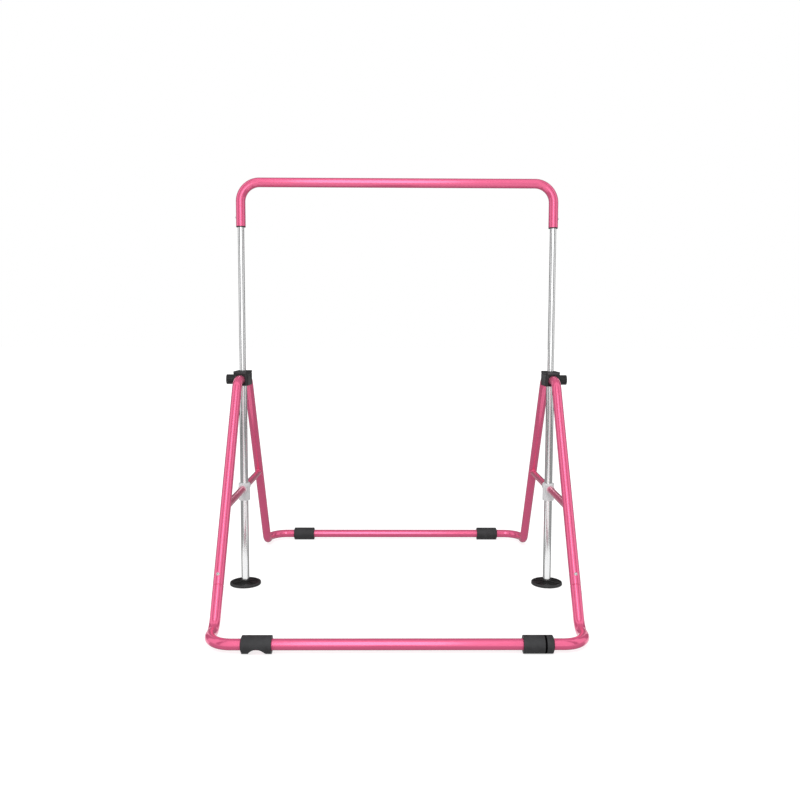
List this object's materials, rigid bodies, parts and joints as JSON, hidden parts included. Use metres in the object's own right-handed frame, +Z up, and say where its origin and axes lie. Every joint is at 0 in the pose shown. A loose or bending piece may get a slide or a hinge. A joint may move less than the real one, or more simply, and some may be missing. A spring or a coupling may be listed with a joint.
{
  "type": "kip bar",
  "caption": "Height-adjustable gymnastics kip bar: a U-shaped bar slides in two clamped uprights on a splayed tube frame with floor sleeves and foot discs.",
  "frame": {"origin": "on the floor, in the middle of the frame", "axes": "+X along the bar to its right end, +Y to the rear, +Z up"},
  "size_m": [1.2512, 1.384, 1.5],
  "materials": {
    "bar_paint": "gloss",
    "frame_paint": "gloss",
    "chrome_tube": "polished",
    "bright_steel": "zinc plated",
    "spring_steel": "blued",
    "bush_plastic": "satin",
    "hub_plastic": "fine grain",
    "knob_plastic": "fine grain",
    "insert_brass": "machined",
    "sleeve_rubber": "satin",
    "band_rubber": "gloss",
    "collar_plastic": "satin",
    "disc_plastic": "fine grain",
    "pad_rubber": "ribbed"
  },
  "bodies": {
    "frame": {"front_leg_left": "frame_paint", "front_leg_right": "frame_paint", "rear_leg_left": "frame_paint", "rear_leg_right": "frame_paint", "front_corner_left": "frame_paint", "front_corner_right": "frame_paint", "front_ground_bar": "frame_paint", "rear_ground_bar": "frame_paint", "front_brace_left": "frame_paint", "front_brace_right": "frame_paint", "rear_brace_left": "frame_paint", "rear_brace_right": "frame_paint", "outer_tube_left": "chrome_tube", "outer_tube_right": "chrome_tube", "hub_screws": "bright_steel", "ground_spigots": "bright_steel", "collar_screws": "bright_steel", "leg_spring_left": "spring_steel", "leg_spring_right": "spring_steel", "guide_bush_left": "bush_plastic", "guide_bush_right": "bush_plastic", "hub_left": "hub_plastic", "hub_right": "hub_plastic", "clamp_nut_left": "insert_brass", "clamp_nut_right": "insert_brass", "front_sleeve_left": "sleeve_rubber", "front_sleeve_right": "sleeve_rubber", "rear_sleeve_left": "sleeve_rubber", "rear_sleeve_right": "sleeve_rubber", "sleeve_band": "band_rubber", "brace_collar_left": "collar_plastic", "brace_collar_right": "collar_plastic", "foot_disc_left": "disc_plastic", "foot_disc_right": "disc_plastic", "foot_pad_left": "pad_rubber", "foot_pad_right": "pad_rubber"},
    "carriage": {"top_bar": "bar_paint", "inner_tube_left": "chrome_tube", "inner_tube_right": "chrome_tube", "bar_bush_left": "bush_plastic", "bar_bush_right": "bush_plastic", "tube_plug_left": "bush_plastic", "tube_plug_right": "bush_plastic", "bar_spring_left": "spring_steel", "bar_spring_right": "spring_steel"},
    "knob_left_body": {"knob_left": "knob_plastic", "knob_stud_left": "bright_steel"},
    "bar_button_left_body": {"bar_button_left": "bright_steel"},
    "leg_button_left_body": {"leg_button_left": "bright_steel"},
    "knob_right_body": {"knob_right": "knob_plastic", "knob_stud_right": "bright_steel"},
    "bar_button_right_body": {"bar_button_right": "bright_steel"},
    "leg_button_right_body": {"leg_button_right": "bright_steel"}
  },
  "joints": [
    {"name": "bar_height", "type": "slide", "parent": "frame", "child": "carriage", "axis": [0, 0, 1], "range_m": [-0.515, 0]},
    {"name": "knob_left_turn", "type": "hinge", "parent": "frame", "child": "knob_left_body", "pos_m": [-0.567, 0, 0.7715], "axis": [-1, 0, 0], "range_deg": [0, 720]},
    {"name": "bar_button_left_press", "type": "slide", "parent": "carriage", "child": "bar_button_left_body", "axis": [1, 0, 0], "range_m": [0, 0.0046], "stiffness_N_per_m": 400, "springref_m": -0.002, "deforming": ["bar_spring_left"]},
    {"name": "leg_button_left_press", "type": "slide", "parent": "frame", "child": "leg_button_left_body", "axis": [0.0523, 0.8587, -0.5098], "range_m": [0, 0.0046], "stiffness_N_per_m": 400, "springref_m": -0.002, "deforming": ["leg_spring_left"]},
    {"name": "knob_right_turn", "type": "hinge", "parent": "frame", "child": "knob_right_body", "pos_m": [0.567, 0, 0.7715], "axis": [1, 0, 0], "range_deg": [0, 720]},
    {"name": "bar_button_right_press", "type": "slide", "parent": "carriage", "child": "bar_button_right_body", "axis": [-1, 0, 0], "range_m": [0, 0.0046], "stiffness_N_per_m": 400, "springref_m": -0.002, "deforming": ["bar_spring_right"]},
    {"name": "leg_button_right_press", "type": "slide", "parent": "frame", "child": "leg_button_right_body", "axis": [-0.0523, 0.8587, -0.5098], "range_m": [0, 0.0046], "stiffness_N_per_m": 400, "springref_m": -0.002, "deforming": ["leg_spring_right"]}
  ]
}
